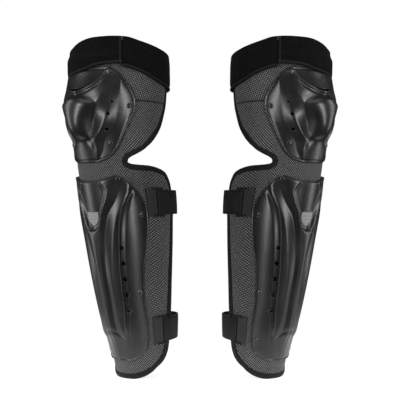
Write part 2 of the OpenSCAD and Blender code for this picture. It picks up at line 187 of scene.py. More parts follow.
# a grid primitive wrapped on the leg: arrays of angle, height and offset, one value a vertex
def wrap(name, angle, z, outer, inner=None, rounds=0, uv=None):
    rows, columns = angle.shape
    selectOnly()
    bpy.ops.mesh.primitive_grid_add(x_subdivisions=columns - 1, y_subdivisions=rows - 1)
    piece = bpy.context.object
    piece.name = name
    setPoints(piece, toPair(legPoint(angle, z, outer)))
    addUv(piece, *(uv or legUv(angle, z)))
    if inner is not None:
        applyModifier(piece, "SOLIDIFY", thickness=0.001, offset=-1)
        setPoints(piece, toPair(legPoint(angle, z, inner)), rows * columns)
    if rounds:
        applyModifier(piece, "SUBSURF", levels=rounds, render_levels=rounds)
    bpy.ops.object.shade_smooth()
    pieces[name] = piece
    return piece


def legUv(angle, z):
    return angle * perDegree(z), z + 0 * angle


# the piece's own map, in metres round the leg and up it
def addUv(piece, u, v):
    mesh = piece.data
    corner = np.empty(len(mesh.loops), np.int32)
    mesh.loops.foreach_get("vertex_index", corner)
    uv = np.stack([u.ravel()[corner], v.ravel()[corner]], -1) * millimetre
    mesh.uv_layers[0].data.foreach_set("uv", uv.ravel().astype(np.float32))


def mirrored(piece, name):
    twin = piece.copy()
    twin.data = piece.data.copy()
    twin.name = name
    bpy.context.scene.collection.objects.link(twin)
    setPoints(twin, vertexPlaces(twin) * [-1, 1, 1])
    twin.data.flip_normals()
    return twin


def joined(name, parts):
    selectOnly(*parts)
    if len(parts) > 1:
        bpy.ops.object.join()
    piece = bpy.context.object
    piece.name = name
    pieces[name] = piece
    return piece


# columns from the middle outwards through the given lines, then mirrored to the other side
def columnsThrough(lines, counts):
    stretches = [lines[0][:, None]]
    for near, far, count in zip(lines[:-1], lines[1:], counts):
        share = np.arange(1, count + 1) / count
        stretches.append(near[:, None] + (far - near)[:, None] * share)
    half = np.concatenate(stretches, 1)
    return np.concatenate([-half[:, :0:-1], half], 1)


def acrossLines(lines, heights, angle):
    size = np.abs(angle)
    return np.array([
        np.interp(size[r], [l[r] for l in lines], [h[r] for h in heights])
        for r in range(len(angle))
    ])


def soften(values, passes):
    for _ in range(passes):
        padded = np.pad(values, 1, mode="edge")
        values = (
            4 * padded[1:-1, 1:-1] + padded[:-2, 1:-1] + padded[2:, 1:-1]
            + padded[1:-1, :-2] + padded[1:-1, 2:]
        ) / 8
    return values


# rolled lip along a shell's outline, with the groove that its stitches lie in
shellRim = {"rolls": [(0.55, 1.5, 0.8), (-0.75, 3.3, 0.9)], "round": 1.1}


def lipped(offset, distance, foot):
    rise = offset + press(distance, shellRim["rolls"]) - foot
    return foot + rise * ease(distance / shellRim["round"])


def rowsBetween(low, high, count):
    # even rows with closer ones within a lip of each end
    close = np.array([0, 0.5, 1.0, 1.5, 2.0, 2.6, 3.3, 4.1])
    middle = np.linspace(low + 5, high - 5, count)
    return np.concatenate([low + close, middle, (high - close)[::-1]])


def shellHalf(shell, z):
    return smooth(shell["half"], (z - shell["low"]) / (shell["high"] - shell["low"]))


def outlineSlope(shell, z):
    # how fast the outline runs out as it rises, in millimetres a millimetre
    d = 0.5
    above = shellHalf(shell, np.minimum(z + d, shell["high"]))
    below = shellHalf(shell, np.maximum(z - d, shell["low"]))
    return (above - below) * perDegree(z) / (2 * d)


def edgeDistance(shell, angle, z):
    side = (shellHalf(shell, z) - np.abs(angle)) * perDegree(z)
    side = side / np.sqrt(1 + outlineSlope(shell, z) ** 2)
    return np.minimum(np.minimum(side, z - shell["low"]), shell["high"] - z)


def heldLines(shell, z):
    # the moulded lines, each held within a share of the shell's half width
    half = shellHalf(shell, z)
    return [0 * z] + [
        np.minimum(smooth(shell[key], z), share * half) for key, share in shell["held"].items()]


def withRim(shell, z, lines):
    # a line a lip's width inside the outline, then the outline itself
    half = shellHalf(shell, z)
    return lines + [np.maximum(half - shell["lip"] / perDegree(z), lines[-1] + 0.4), half]


def gridOf(shell, linesAt):
    rows = rowsBetween(shell["low"], shell["high"], shell["rows"])
    angle = columnsThrough(linesAt(rows), shell["columns"])
    return rows, angle, np.broadcast_to(rows[:, None], angle.shape).copy()


def shellWalls(name, shell, angle, z, offset, height):
    # the moulded face with its lip, and an inner wall that stays off the fabric
    drape = cloth(angle, z)
    outer = lipped(offset, edgeDistance(shell, angle, z), shell["foot"]) + drape
    inner = np.maximum(shell["gap"] + drape, outer - shell["wall"])
    inner = np.minimum(inner, outer - shell["thinnest"])
    return wrap(name, angle, height, outer, inner, shell["rounds"])


# the moulded knee cup

knee = {
    "low": 314,
    "high": 447.5,
    "wall": 2.6,
    "thinnest": 0.25,
    "gap": 0.3,
    "foot": 0.5,
    "lip": 4.6,
    "rounds": 1,
    "rows": 78,
    "columns": (20, 8, 5, 5, 4, 8),
    "held": {"ballLine": 0.84, "crestLine": 0.87, "facetLine": 0.9},
    "half": [[0, 22], [0.045, 37], [0.13, 47], [0.225, 51], [0.337, 56], [0.454, 62],
             [0.546, 66.5], [0.65, 66.7], [0.734, 63.4], [0.823, 57], [0.9, 50], [0.96, 43],
             [1, 34]],
    # height, then angle, of the moulded lines beside the ball
    "ballLine": [[314, 12], [331, 15], [344, 14], [355, 14.5], [370, 17], [387, 21], [400, 25],
                 [411, 30], [428, 40], [447.5, 44]],
    "crestLine": [[314, 19], [331, 22], [344, 18.6], [358, 26], [373, 32], [393, 36.7],
                  [411, 40], [433.6, 45.6], [447.5, 48]],
    "facetLine": [[314, 23], [331, 28], [344, 29], [358, 36], [373, 42], [393, 45.5],
                  [411, 47], [433, 49], [447.5, 50]],
    # height, then the ball's half angle where it closes over, and its rise
    "ballWide": [[314, 30], [380, 28], [387, 26.4], [393, 24], [398, 20.6], [403, 16],
                 [407, 10.5], [411, 3]],
    "ballRise": [[314, 3], [322, 5], [335, 9], [343, 12], [346.5, 14.5], [350, 20],
                 [356, 25], [364, 28.8], [374, 31], [384, 31.8], [392, 31.4], [398, 30],
                 [403, 27.6], [407.5, 22], [412, 12], [447, 3]],
    # height, then how far the middle and each line stand off the leg
    "saddleRise": [[314, 3], [380, 9], [388, 13], [395, 16.6], [402, 19], [408, 20.2],
                   [412, 20.6], [430, 20], [447, 14]],
    "ballEdgeRise": [[314, 3], [331, 7.6], [340, 8.6], [350, 8.8], [362, 9.8], [374, 11.8],
                     [384, 15.4], [392, 18], [400, 18.2], [411, 14.6], [420, 10.4], [430, 6.6],
                     [440, 5], [447, 4.4]],
    "crestRise": [[314, 3], [331, 7.4], [340, 9.6], [350, 12], [360, 14], [372, 15],
                  [382, 14.6], [393, 13.4], [402, 12.4], [411, 10.5], [433, 5.8], [447, 4.4]],
    "facetRise": [[314, 2.8], [331, 3.6], [345, 4.2], [360, 5.2], [372, 6.6], [393, 8.8],
                  [411, 8.6], [433, 5.6], [447, 4.2]],
    "flankRise": [[314, 2.6], [331, 3.2], [350, 3.5], [366, 4], [380, 5], [393, 5.8],
                  [411, 5.7], [433, 4.4], [447, 3.8]],
    # angle, then height, of the scoop's crest over the ball
    "brow": [[0, 412.4], [4, 413.5], [12, 417], [22, 425], [29, 435], [34, 441], [50, 443]],
    "lipRise": [[0, 19.5], [12, 17], [22, 13.5], [30, 9.5], [40, 6], [60, 4]],
    "rimRise": 3.1,
    "ballRound": 2.3,
    "visor": {"foot": 3.4, "fall": 1.25, "edge": 1.8},
    # a sill on the visor's lip and a valley under it
    "sill": {"rolls": [(0.9, 0.6, 1.5), (-2.0, -3.6, 2.2)], "reach": 32, "fade": 12},
    "slot": {"z": 415.6, "half": 12, "tall": 1.5, "bow": 3.4, "front": 45.0, "back": 3.4},
    "holes": [[39, 397.5, 1.6], [35, 381, 2.0], [33, 360, 2.2]],
    "rivets": [[34, 439], [56.5, 391], [36.5, 340]],
}


def kneeLines(z):
    lines = heldLines(knee, z)
    lines.append(0.5 * (lines[-1] + 0.95 * shellHalf(knee, z)))
    return withRim(knee, z, lines)


def kneeCrown(angle, z):
    # the ball's own round section between its two edge lines, and flat facets beyond them
    rows = z[:, 0]
    lines = kneeLines(rows)
    top, edge, crest, facet, flank, saddle = (smooth(knee[key], rows) for key in (
        "ballRise", "ballEdgeRise", "crestRise", "facetRise", "flankRise", "saddleRise"))
    outside = acrossLines(
        lines[1:-1], [edge, crest, facet, flank, knee["rimRise"] + 0 * rows], angle)
    share = np.clip(np.abs(angle) / lines[1][:, None], 0, 1)
    base = saddle[:, None] + (edge - saddle)[:, None] * share
    wide = np.minimum(smooth(knee["ballWide"], rows), lines[1])
    inBall = np.clip(np.abs(angle) / wide[:, None], 0, 1)
    ball = edge[:, None] + (top - edge)[:, None] * (1 - inBall ** knee["ballRound"])
    return np.where(share < 1, np.maximum(base, np.where(inBall < 1, ball, 0)), outside)


def kneeCup():
    _, angle, z = gridOf(knee, kneeLines)
    offset = soften(kneeCrown(angle, z), 1)
    # a visor over the ball, which falls from its lip to the rim
    visor = knee["visor"]
    brow = smooth(knee["brow"], np.abs(angle))
    into = np.clip((z - brow) / np.maximum(knee["high"] - brow, 2), 0, 1)
    lip = smooth(knee["lipRise"], np.abs(angle))
    floor = visor["foot"] + (lip - visor["foot"]) * (1 - into) ** visor["fall"]
    inside = ease((z - brow) / visor["edge"])
    offset = offset + (np.minimum(offset, floor) - offset) * inside
    sill = knee["sill"]
    near = ease((sill["reach"] - np.abs(angle)) / sill["fade"])
    offset = offset + press(z - brow, sill["rolls"]) * near
    piece = shellWalls("kneeCup", knee, angle, z, offset, z)
    cutSlot(piece, knee["slot"])
    cutHoles(piece, knee["holes"])


def drop(piece):
    bpy.data.objects.remove(piece, do_unlink=True)


def onLeg(a, z, o):
    # where a point off the leg is and which way it faces, in the shared frame
    here = legPoint(a, z, o)
    facing = toPair(here + normalAt(a, z)) - toPair(here)
    return Vector(toPair(here).tolist()), Vector(facing.tolist()).normalized()


def plug(place, facing, foot, top, depth, sides):
    # a round plug or cone that stands along facing; depth in metres
    selectOnly()
    bpy.ops.mesh.primitive_cone_add(
        vertices=sides, radius1=foot * millimetre, radius2=top * millimetre, depth=depth,
        location=place, rotation=facing.to_track_quat("Z", "Y").to_euler())
    bpy.ops.object.transform_apply()
    return bpy.context.object


def cutWith(piece, cutters):
    cutter = joined("cutter", cutters)
    pieces.pop("cutter")
    selectOnly(piece)
    applyModifier(piece, "BOOLEAN", operation="DIFFERENCE", solver="EXACT", object=cutter)
    drop(cutter)


def cutHoles(piece, holes):
    reach = 0.05
    cutWith(piece, [
        plug(*onLeg(side * a, z, 8), r, r, reach, 20) for a, z, r in holes for side in (-1, 1)])


def cutSlot(piece, slot):
    # a lens-shaped opening across the scoop, cut straight back
    angle = np.linspace(-slot["half"], slot["half"], 15)
    bulge = slot["tall"] * (1 - (angle / slot["half"]) ** 2) + 0.12
    rise = slot["bow"] * (np.abs(angle) / slot["half"]) ** 2
    cutter = wrap(
        "slotCutter",
        np.stack([angle, angle]),
        np.stack([slot["z"] + rise - bulge, slot["z"] + rise + bulge]),
        np.full((2, 15), slot["front"]),
        np.full((2, 15), slot["back"]),
    )
    pieces.pop("slotCutter")
    cutWith(piece, [cutter])


# the moulded shin shell

shin = {
    "low": 27,
    "high": 297,
    "wall": 2.6,
    "thinnest": 0.25,
    "gap": 0.3,
    "foot": 0.5,
    "lip": 4.6,
    "rounds": 1,
    "rows": 98,
    "columns": (4, 3, 7, 7, 6, 3, 6, 8, 8),
    "held": {"scoopLine": 0.4, "troughLine": 0.62, "ridgeLine": 0.74, "ledgeLine": 0.79,
             "stepLine": 0.82, "flankLine": 0.87},
    # how far the top edge dips at the front, over what height and angle
    "dip": {"deep": 8, "tall": 60, "half": 46},
    "rimRise": 3.0,
    "half": [[0, 30], [0.017, 46], [0.043, 62], [0.08, 73], [0.144, 78], [0.226, 79], [0.31, 76],
             [0.393, 76], [0.5, 79], [0.6, 86], [0.71, 91.5], [0.79, 92.6], [0.844, 91],
             [0.885, 86], [0.922, 78], [0.963, 67], [0.985, 57], [1, 46]],
    # height, then angle, of the moulded lines from the keel outwards
    "scoopLine": [[27, 6], [150, 6.5], [196, 8], [208, 10], [216, 12], [224, 14], [231, 15.6],
                  [243.7, 18.5], [262, 26], [288.5, 33], [297, 34]],
    "troughLine": [[27, 15], [60, 17], [75, 14], [88, 12.2], [120, 12], [155, 11], [184, 13],
                   [208, 18.5], [231, 24.5], [241, 28], [266, 43], [285, 50], [297, 52]],
    "ridgeLine": [[27, 22], [51, 25], [67.5, 26.5], [90, 22.6], [119, 21], [155, 22.6],
                  [184, 27], [213, 33], [237, 40], [262, 52], [284, 63], [297, 64]],
    "ledgeLine": [[27, 27.5], [51, 30.5], [75, 30.4], [104, 33.6], [134, 35], [163, 36.2],
                  [191, 38.8], [220, 42.2], [248, 49], [276, 63], [297, 68]],
    "stepLine": [[27, 30], [51, 34], [75, 33.5], [104, 36.7], [134, 38], [163, 39], [191, 41.4],
                 [220, 45], [248, 52], [276, 67], [297, 73]],
    "flankLine": [[27, 37], [75, 40], [104, 43], [134, 44.5], [163, 45.6], [191, 48], [220, 52],
                  [248, 59], [276, 72], [297, 76.5]],
    # height, then how far each line stands off the leg
    "keelRise": [[27, 2.6], [36, 3.6], [50, 5.0], [60, 7.5], [68, 11], [82, 11.8], [114, 11.8],
                 [150, 11.5], [190, 11], [213, 10.2], [297, 6]],
    "scoopRise": [[27, 2.6], [36, 3.6], [50, 5.0], [60, 7.4], [68, 10.8], [82, 11.5],
                  [114, 11.3], [150, 10.4], [190, 9.4], [213, 9.2], [231, 9.4], [262, 8.6],
                  [288, 6], [297, 5.5]],
    "troughRise": [[27, 2.6], [36, 3.2], [50, 3.8], [60, 4.6], [68, 6.6], [82, 7.8], [120, 7.6],
                   [155, 7.2], [190, 6.2], [220, 5.2], [241, 4.8], [266, 4.4], [285, 3.9],
                   [297, 3.6]],
    "ridgeRise": [[27, 2.6], [36, 3.2], [50, 3.8], [60, 5.4], [68, 8.8], [90, 10], [119, 10.6],
                  [155, 10.6], [184, 9.8], [213, 8.8], [237, 8.2], [262, 7.4], [284, 6.4],
                  [297, 5.6]],
    "ledgeRise": [[27, 2.6], [50, 3.6], [66, 5.4], [80, 8], [104, 9.2], [134, 9.6], [163, 9.4],
                  [191, 8.6], [220, 7.6], [248, 7], [276, 6.2], [297, 5]],
    "stepRise": [[27, 2.6], [50, 3.4], [66, 3.6], [80, 3.2], [104, 3], [191, 3], [248, 3],
                 [276, 3.1], [297, 3.1]],
    "flankRise": [[27, 2.6], [50, 3.8], [75, 5.2], [104, 5.8], [134, 6], [191, 6], [220, 5.8],
                  [248, 5.4], [276, 4.6], [297, 3.9]],
    # where the keel stops over the ankle: angle, then height, of a pressed line
    "kinkLine": [[0, 73], [8, 72], [16, 67], [26, 59.5], [32, 54]],
    "kink": {"rolls": [(-2.0, 0, 1.7)], "reach": 29, "fade": 8},
    "scoop": {"end": 215, "bow": 12, "half": 14, "floor": 3.0, "wall": 4.6, "slope": 7},
    "holes": [[41.5, 104, 4.5], [41.5, 126.3, 4.1], [41.5, 148.6, 3.6], [41.5, 170.9, 3.2],
              [41.5, 193.2, 2.7]],
    "rivets": [[48, 285.5], [79, 238], [65, 124], [62, 54]],
}


def shinLines(z):
    lines = heldLines(shin, z)
    lines.insert(1, 0.7 * lines[1])
    return withRim(shin, z, lines)


def shinCrown(angle, z):
    # the relief runs off the rim where a moulded line does, so the lines aren't held here
    rows = z[:, 0]
    lines = [0 * rows] + [smooth(shin[key], rows) for key in shin["held"]]
    lines.insert(1, 0.7 * lines[1])
    lines.append(np.maximum(shellHalf(shin, rows), lines[-1] + 7))
    rises = [smooth(shin[key.replace("Line", "Rise")], rows) for key in shin["held"]]
    keel = smooth(shin["keelRise"], rows)
    crown = 0.55 * keel + 0.45 * rises[0] + 0.35
    return acrossLines(lines, [keel, crown] + rises + [shin["rimRise"] + 0 * rows], angle)


def shinShell():
    rows, angle, z = gridOf(shin, shinLines)
    offset = soften(shinCrown(angle, z), 1)
    kink, scoop, dip = shin["kink"], shin["scoop"], shin["dip"]
    above = z - smooth(shin["kinkLine"], np.abs(angle))
    fade = ease((kink["reach"] - np.abs(angle)) / kink["fade"])
    offset = offset + press(above, kink["rolls"]) * fade
    side = shinLines(rows)[2][:, None] + 0.4 - np.abs(angle)
    end = scoop["end"] + scoop["bow"] * (np.abs(angle) / scoop["half"]) ** 2
    inside = ease(side * perDegree(z) / scoop["wall"]) * ease((z - end) / scoop["slope"])
    offset = offset + (scoop["floor"] - offset) * inside
    reach = np.maximum(0, 1 - (np.abs(angle) / dip["half"]) ** 2)
    height = z - dip["deep"] * ease((z - shin["high"] + dip["tall"]) / dip["tall"]) * reach
    cutHoles(shellWalls("shinShell", shin, angle, z, offset, height), shin["holes"])


# the padded fabric liner: one sheet from the ankle to the thigh, notched at the knee

liner = {
    "thick": 3,
    "shinTop": 311,
    "thighLow": 323,
    "shinHalf": [[0, 12], [0.002, 26], [0.007, 40], [0.015, 54], [0.028, 68], [0.044, 83],
                 [0.066, 98], [0.092, 108], [0.141, 116.5],
                 [0.3, 124], [0.46, 127.6], [0.65, 132], [0.75, 134], [0.84, 137.5],
                 [0.92, 138], [0.95, 132], [0.975, 126], [0.99, 115], [1, 103]],
    "thighHalf": [[0, 67], [0.02, 74], [0.07, 87], [0.13, 95], [0.18, 101], [0.24, 107.5],
                  [0.29, 111], [0.37, 116], [0.46, 122], [0.54, 125], [0.62, 129], [0.75, 131],
                  [1, 131]],
    "notch": [[311, 103], [311.5, 84], [312.2, 72], [313.6, 65], [317, 62], [320.5, 63.5],
              [323, 67]],
    "crossSeam": 401,
    "puff": 1.0,
    # the knit is drawn out a little past an angle, and lies turned above the cross seam
    "knit": {"full": 60, "drawn": 0.7, "turn": 22},
    "tapeWidth": 7.4,
}


def linerHalf(z):
    z = np.asarray(z, float)
    low, high = liner["shinTop"], liner["thighLow"]
    shinSide = smooth(liner["shinHalf"], z / low)
    thighSide = smooth(liner["thighHalf"], (z - high) / (pair["top"] - high))
    waist = np.interp(z, *np.transpose(liner["notch"]))
    return np.where(z <= low, shinSide, np.where(z >= high, thighSide, waist))


def linerPuff(a, z):
    # fabric swells between its seams, and ripples a little where the wings hang free
    free = ease((np.abs(a) - 44) / 26) * ease((linerHalf(z) - np.abs(a)) / 12)
    seam = 1 + press(z, [(-0.8, liner["crossSeam"], 3.2)])
    ripple = 0.35 * np.sin(0.11 * a + 0.045 * z) * np.sin(0.07 * z - 0.06 * a + 1.3)
    return free * (liner["puff"] * seam + ripple)


def linerSheet():
    rows = np.concatenate([
        [0.6, 2, 4, 7, 10.5, 14, 18], np.linspace(23, 300, 84), np.linspace(302, 310, 8),
        [310.6, 311, 311.3, 311.6, 312, 312.6, 313.6, 315, 317, 319, 320.5, 322, 323],
        np.linspace(324.5, 336, 9), np.linspace(339, 488.4, 48),
    ])
    half = linerHalf(rows) - 0.9 / perDegree(rows)
    share = np.linspace(-1, 1, 121)
    angle = half[:, None] * share
    z = np.broadcast_to(rows[:, None], angle.shape).copy()
    outer = cloth(angle, z) + linerPuff(angle, z)
    inner = cloth(angle, z) - liner["thick"] - 0.5 * linerPuff(angle, z)
    knit = liner["knit"]
    size = np.abs(angle)
    drawn = np.minimum(size, knit["full"]) + knit["drawn"] * np.maximum(size - knit["full"], 0)
    u, v = legUv(np.sign(angle) * drawn, z)
    turn = np.where(z > liner["crossSeam"], math.radians(knit["turn"]), 0)
    uv = u * np.cos(turn) - v * np.sin(turn), u * np.sin(turn) + v * np.cos(turn)
    wrap("liner", angle, underBand(angle, z), outer, inner, uv=uv)


def underBand(a, z):
    # the liner's top edge stops just under the band's
    start = 430
    drop = pair["top"] - smooth(band["top"], a) + 4
    return z - drop * np.clip((z - start) / (pair["top"] - start), 0, 1)


# the liner's whole edge as one path, up the far side's mirror image and round to the near side
def edgePath(step=1.8):
    up = np.concatenate([
        np.linspace(0, 12, 30), np.linspace(12.5, 296, 130), np.linspace(296.5, 311, 60)])
    side = [(smooth(liner["shinHalf"], h / liner["shinTop"]), h) for h in up]
    side += [(a, h) for h, a in liner["notch"][1:-1]]
    high = np.concatenate([np.linspace(323, 345, 30), np.linspace(346, 487.5, 70)])
    span = pair["top"] - liner["thighLow"]
    side += [(smooth(liner["thighHalf"], (h - liner["thighLow"]) / span), h) for h in high]
    side = np.array(side, float)
    path = np.concatenate([side[::-1] * [-1, 1], side])
    k = perDegree(path[:, 1])
    run = np.hypot(np.diff(path[:, 0]) * (k[1:] + k[:-1]) / 2, np.diff(path[:, 1]))
    run = np.concatenate([[0], np.cumsum(run)])
    even = np.linspace(0, run[-1], int(run[-1] / step))
    path = np.stack([np.interp(even, run, path[:, 0]), np.interp(even, run, path[:, 1])], -1)
    for _ in range(10):
        path[1:-1] = (path[:-2] + 2 * path[1:-1] + path[2:]) / 4
    return path, even


def alongEdge(path):
    # the way into the fabric, one millimetre long, and the millimetres of a degree
    k = perDegree(path[:, 1])
    run = np.gradient(path, axis=0) * np.stack([k, np.ones_like(k)], -1)
    run /= np.linalg.norm(run, axis=1, keepdims=True)
    return np.stack([-run[:, 1], run[:, 0]], -1), k


def edgeTape():
    path, even = edgePath()
    into, k = alongEdge(path)
    w = liner["tapeWidth"]
    back = -liner["thick"]
    section = np.array([
        [w, -0.4], [w + 0.1, 0.75], [w - 0.5, 1.15], [w - 1.6, 1.0], [w - 2.4, 1.25],
        [0.45 * w, 1.45], [1.3, 1.3], [0.2, 0.7], [-0.6, -0.4], [-0.85, -1.5],
        [-0.6, -2.6], [0.2, back - 0.6], [1.3, back - 1.1], [0.45 * w, back - 1.25],
        [w - 0.5, back - 1.05], [w, back - 0.7], [w, back + 0.4],
    ])
    angle = path[:, :1] + into[:, :1] * section[:, 0] / k[:, None]
    z = path[:, 1:] + into[:, 1:] * section[:, 0]
    z = np.clip(z, 0.05, pair["top"] - 0.05)
    lift = cloth(angle, z) + 0.5 * linerPuff(angle, z)
    around = np.concatenate([[0], np.cumsum(np.hypot(*np.diff(section, axis=0).T))])
    uv = (np.broadcast_to(even[:, None], angle.shape), np.broadcast_to(around, angle.shape))
    wrap("binding", angle, underBand(angle, z), lift + section[:, 1], uv=uv)


# foam pads behind the shells
pads = {
    "kneePad": {"half": [[0, 24], [0.12, 38], [0.5, 46], [0.88, 40], [1, 22]], "low": 350,
                "high": 429.5},
    "shinPad": {"half": [[0, 32], [0.1, 44], [0.5, 50], [0.9, 56], [1, 36]], "low": 42,
                "high": 269},
    "under": 4.5,
    "thick": 5,
    "voxel": 2.6,
    "pressure": 4,
    "frames": 20,
    "swell": 0.7,
    "channel": {"pitch": 26, "deep": 0.9, "wide": 1.8},
}


def foamPad(name):
    pad = pads[name]
    low, high = pad["low"], pad["high"]
    rows = low + (high - low) * (1 - np.cos(np.linspace(0, math.pi, int((high - low) / 3)))) / 2
    half = smooth(pad["half"], (rows - low) / (high - low))
    angle = half[:, None] * np.sin(np.linspace(-1, 1, 41) * math.pi / 2)
    z = np.broadcast_to(rows[:, None], angle.shape).copy()
    edge = np.minimum((half[:, None] - np.abs(angle)) * perDegree(z), np.minimum(z - low, high - z))
    soft = np.sqrt(np.clip(1 - (1 - np.clip(edge / 3, 0, 1)) ** 2, 0, 1))
    front = -pads["under"] - pads["thick"] * 0.5 * (1 - soft)
    back = front - 0.3 - (pads["thick"] - 0.3) * soft
    piece = wrap(name, angle, z, front, back)
    inflate(piece)
    sewChannels(piece, low, high)


def inflate(piece):
    # the cover is cloth, blown out a little by the foam in it
    applyModifier(piece, "REMESH", mode="VOXEL", voxel_size=pads["voxel"] * millimetre)
    fabric = piece.modifiers.new("fabric", "CLOTH")
    fabric.settings.use_pressure = True
    fabric.settings.uniform_pressure_force = pads["pressure"]
    fabric.settings.effector_weights.gravity = 0
    fabric.point_cache.frame_end = pads["frames"]
    rest = vertexPlaces(piece)
    for step in range(1, pads["frames"] + 1):
        bpy.context.scene.frame_set(step)
    blown = vertexPlaces(piece.evaluated_get(bpy.context.evaluated_depsgraph_get()))
    piece.modifiers.remove(fabric)
    bpy.context.scene.frame_set(1)
    move = blown - rest
    move -= move.mean(axis=0)
    far = np.linalg.norm(move, axis=1, keepdims=True)
    move *= np.minimum(1, pads["swell"] * millimetre / np.maximum(far, 1e-9))
    print("  swell of", piece.name, "largest", round(float(far.max()) / millimetre, 2), "mm")
    setPoints(piece, rest + move)
    applyModifier(piece, "SUBSURF", levels=1, render_levels=1)


def sewChannels(piece, low, high):
    channel = pads["channel"]
    places = vertexPlaces(piece)
    facing = np.array([list(v.normal) for v in piece.data.vertices])
    height = places[:, 2] / millimetre
    off = np.mod(height - low, channel["pitch"]) - channel["pitch"] / 2
    sunk = channel["deep"] * np.exp(-((off / channel["wide"]) ** 2))
    sunk = sunk * ease((height - low - 5) / 4) * ease((high - 5 - height) / 4)
    places -= facing * (sunk * millimetre)[:, None]
    setPoints(piece, places)


# straps, tabs and bands

straps = {
    "thick": 2.5,
    "lift": 1.4,
    "width": 36,
    "hinge": 160,
    "stubEnd": 103.4,
    "upper": {"z": 259, "stub": 92, "end": 262},
    "lower": {"z": 71, "stub": 88.5, "end": 274},
    "hook": 1.1,
    "seat": 0.3,
    "hookSpan": 24,
    "rib": 2.9,
}
band = {
    "thick": 3,
    "farEnd": -131,
    "seam": 50,
    "top": [[-131, 474], [-60, 474], [-25, 478], [-7, 484], [6, 487.5], [18, 489], [54, 489],
            [72, 484], [93, 479], [106, 476], [131, 472], [160, 470]],
    "frontHem": [[-131, 425], [-90, 427], [-60, 430.5], [-45, 433], [-29, 439], [-15, 440],
                 [3, 443], [19, 448], [32, 450], [50, 451.5]],
    "sideHem": [[50, 446.5], [59, 445], [78, 438], [102, 428], [126, 423], [160, 422]],
    # rise, place and width of the rolls and grooves over the hem and beside the front seam
    "hemPress": [(0.7, 2.2, 1.5), (-0.8, 5, 1.0)],
    "seamPress": [(1.1, -2.4, 1.3), (-1.7, 0, 0.9), (-0.5, -5.4, 0.8)],
    "strapLow": 425,
    "strapTall": 42,
    "strapEnd": 300,
}


def level(value):
    return lambda a, z=0: value + 0 * np.asarray(a, float)


# a rectangle of webbing with soft edges; each edge and its lift is a number or a function
def webbing(name, a0, a1, low, high, lift, thick, step=2.2, relief=None, ends=(1, 1), crown=0.0):
    low, high, lift = (each if callable(each) else level(each) for each in (low, high, lift))
    count = max(6, int(abs(a1 - a0) / step))
    share = np.linspace(0, 1, count + 1)
    near = np.array([0.0, 0.35, 0.9])
    span = abs(a1 - a0) * 0.95
    share = np.unique(np.concatenate([near / span, share, 1 - near / span]).clip(0, 1))
    across = a0 + (a1 - a0) * share
    tall = float(np.mean(high(across) - low(across)))
    up = np.linspace(0, 1, max(5, int(tall / 1.4)) + 1)
    up = np.unique(np.concatenate([near / tall, up, 1 - near / tall]).clip(0, 1))
    angle = np.broadcast_to(across, (len(up), len(across))).copy()
    z = low(across) + (high(across) - low(across)) * up[:, None]
    k = perDegree(z)
    sideGap = np.minimum(z - low(across), high(across) - z)
    endGap = np.minimum(
        (angle - a0) * k if ends[0] else 9 + 0 * k, (a1 - angle) * k if ends[1] else 9 + 0 * k)
    soft = np.sqrt(np.clip(1 - (1 - np.clip(np.minimum(sideGap, endGap) / 0.9, 0, 1)) ** 2, 0, 1))
    middle = lift(angle, z) + thick / 2
    swell = thick / 2 * (0.25 + 0.75 * soft)
    bulge = crown * ease(sideGap / (0.3 * tall)) * soft
    top = middle + swell + bulge
    if relief is not None:
        top = top + relief(angle, z) * soft
    run = (angle - a0) * k
    wrap(name, angle, z, top, middle - swell, uv=(run, z - low(across)))


def calfLift(a, z):
    start = straps["lift"]
    full = 3 * straps["seat"] + 2 * straps["hook"] + 0.4
    return start + (full - start) * ease((a - 205) / 15) + 0 * z


def calfStrap(which):
    part, hook, thick = straps[which], straps["hook"], straps["thick"]
    middle, half, end = part["z"], straps["width"] / 2, part["end"]
    low, high = middle - half, middle + half

    def ribs(a, z):
        return -0.55 * np.abs(np.sin(np.pi * (z - middle) / straps["rib"]))

    def underStrap(a, z):
        return calfLift(a, z) - straps["seat"] - hook

    webbing(which + "Anchor", part["stub"], straps["stubEnd"], low - 3.5, high + 3.5,
            0.45, 2.9, 0.7, ribs)
    for edge, tag in ((low - 1.6, "Low"), (high + 1.6, "High")):
        # folded end of the tab, tucked beside the elastic
        webbing(which + "Fold" + tag, part["stub"] + 5.5, straps["stubEnd"] + 9,
                edge - 1.7, edge + 1.7, 2.3, 1.5, 1.2)
    webbing(which + "Lead", straps["stubEnd"] + 0.8, straps["hinge"] - 2.6, low, high,
            straps["lift"], thick, crown=0.25)
    webbing(which + "Strap", straps["hinge"] + 0.9, end, low, high, calfLift, thick, crown=0.25)
    webbing(which + "Hook", end - straps["hookSpan"] - 2, end - 2, low + 3, high - 3,
            underStrap, hook, 2.0)
    webbing(which + "Loop", end - straps["hookSpan"] - 1, end, low + 1, high - 1,
            straps["seat"], hook, 2.0)


# the soft fold between a strap and the lead or band that it is sewn to
creases = {
    "upperCrease": ("shin", "upper_flap", straps["upper"]["z"], straps["width"]),
    "lowerCrease": ("shin", "lower_flap", straps["lower"]["z"], straps["width"]),
    "thighCrease": ("thigh", "thigh_flap", band["strapLow"] + band["strapTall"] / 2,
                    band["strapTall"]),
}


def strapCreases():
    hinge = straps["hinge"]
    for name, (_, _, middle, wide) in creases.items():
        thick = band["thick"] if name == "thighCrease" else straps["thick"]
        webbing(name, hinge - 3.4, hinge + 1.7, middle - wide / 2 + 0.5, middle + wide / 2 - 0.5,
                straps["lift"] + 0.2, thick - 0.7, 0.45)


def overCup(a, z):
    return 1.4 + 2.5 * ease((60 - np.abs(a)) / 10) * ease((471 - z) / 10)


def thighLift(a, z):
    full = band["thick"] + 3 * straps["seat"] + 2 * straps["hook"] + 0.4
    return 1.2 + full * ease((a - 203) / 16) + 0 * z


